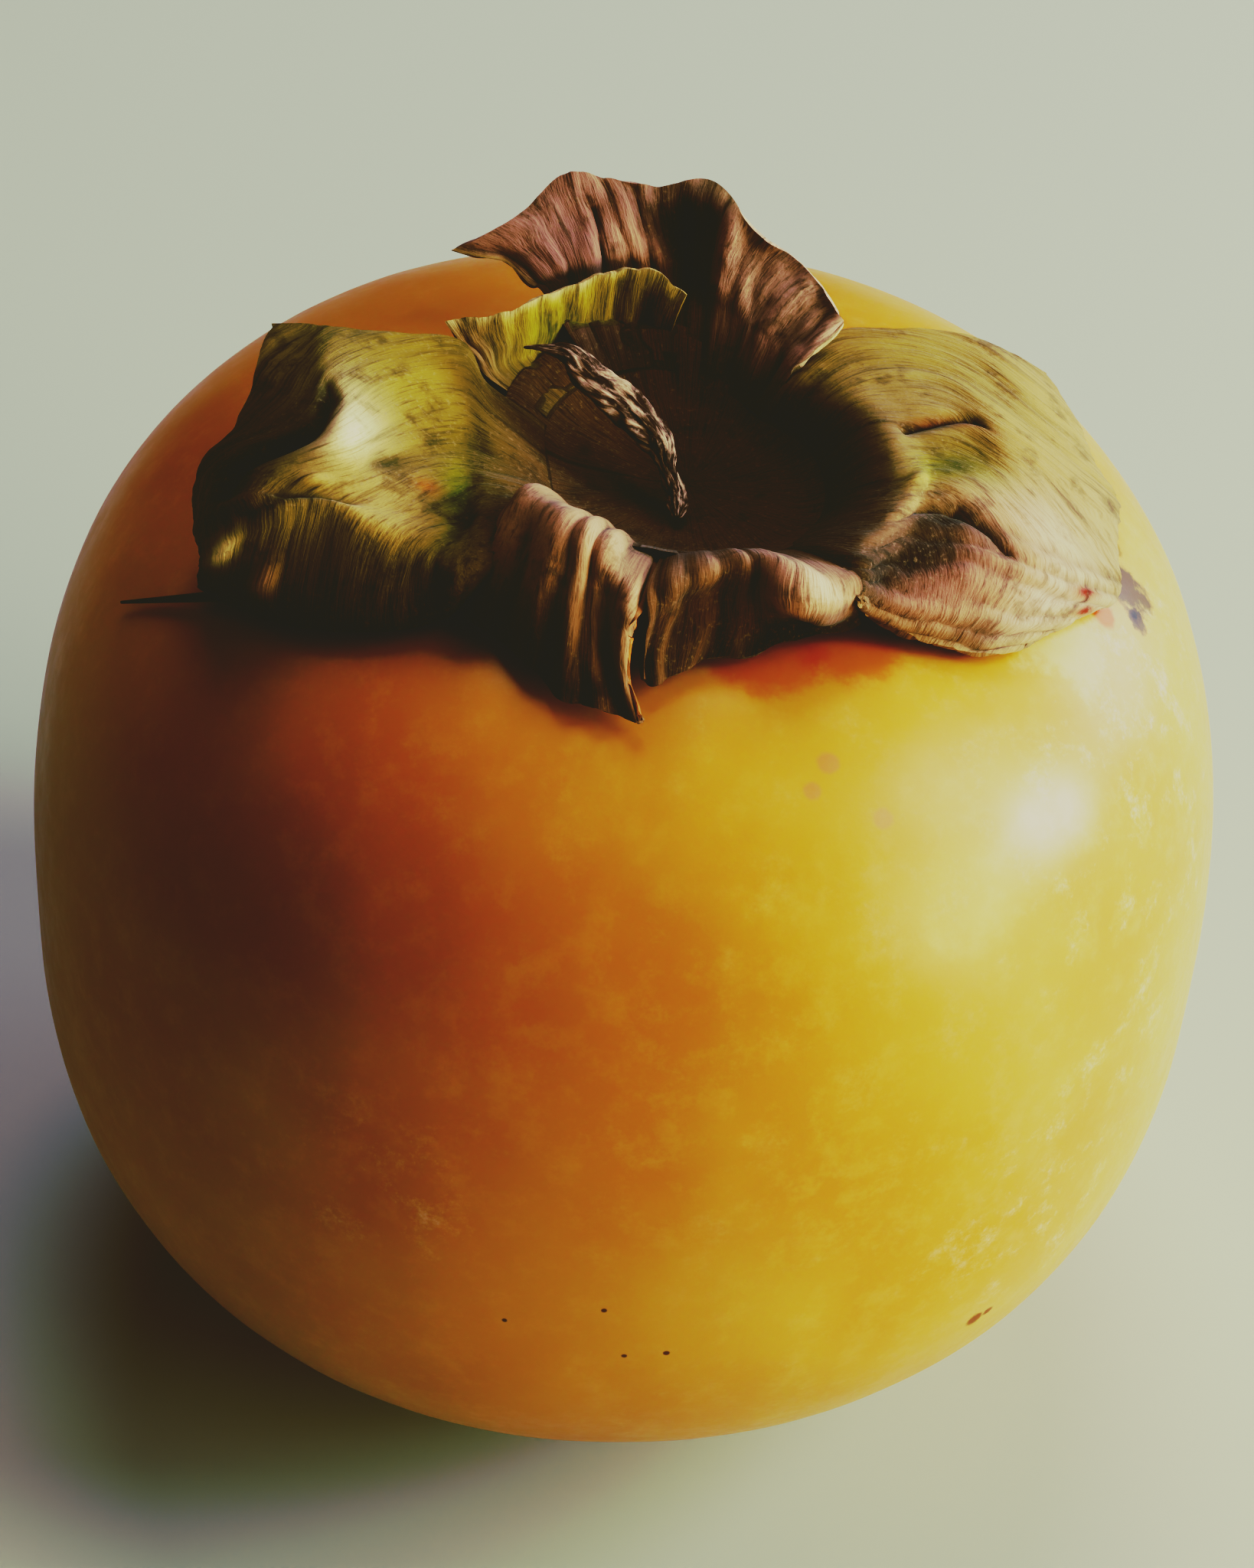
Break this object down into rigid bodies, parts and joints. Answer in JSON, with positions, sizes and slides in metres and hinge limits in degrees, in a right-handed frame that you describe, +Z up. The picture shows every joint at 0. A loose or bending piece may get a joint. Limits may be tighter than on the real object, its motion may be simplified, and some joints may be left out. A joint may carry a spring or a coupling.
{
  "type": "persimmon",
  "caption": "Ripe round persimmon with full shoulders, a dried leafy calyx with curled lobes round a shallow bowl, and a shrivelled stalk remnant; rests on a small flat spot.",
  "frame": {"origin": "centre of the flat spot that the fruit rests on, under the middle of its girth", "axes": "+Z up through the calyx, +X to the right and +Y away from the viewer of the picture"},
  "size_m": [0.08, 0.08, 0.0828],
  "materials": {
    "skin": "smooth waxy skin, deep orange turning yellow on one flank, with a faint whitish bloom",
    "dry_calyx": "matte dry leaf, olive green on top with cream ridges, mauve-brown and fuzzy where it has dried",
    "dry_stalk": "matte wrinkled brown, shrivelled"
  },
  "bodies": {
    "root": {"fruit": "skin", "calyx": "dry_calyx", "stalk": "dry_stalk"}
  },
  "joints": []
}
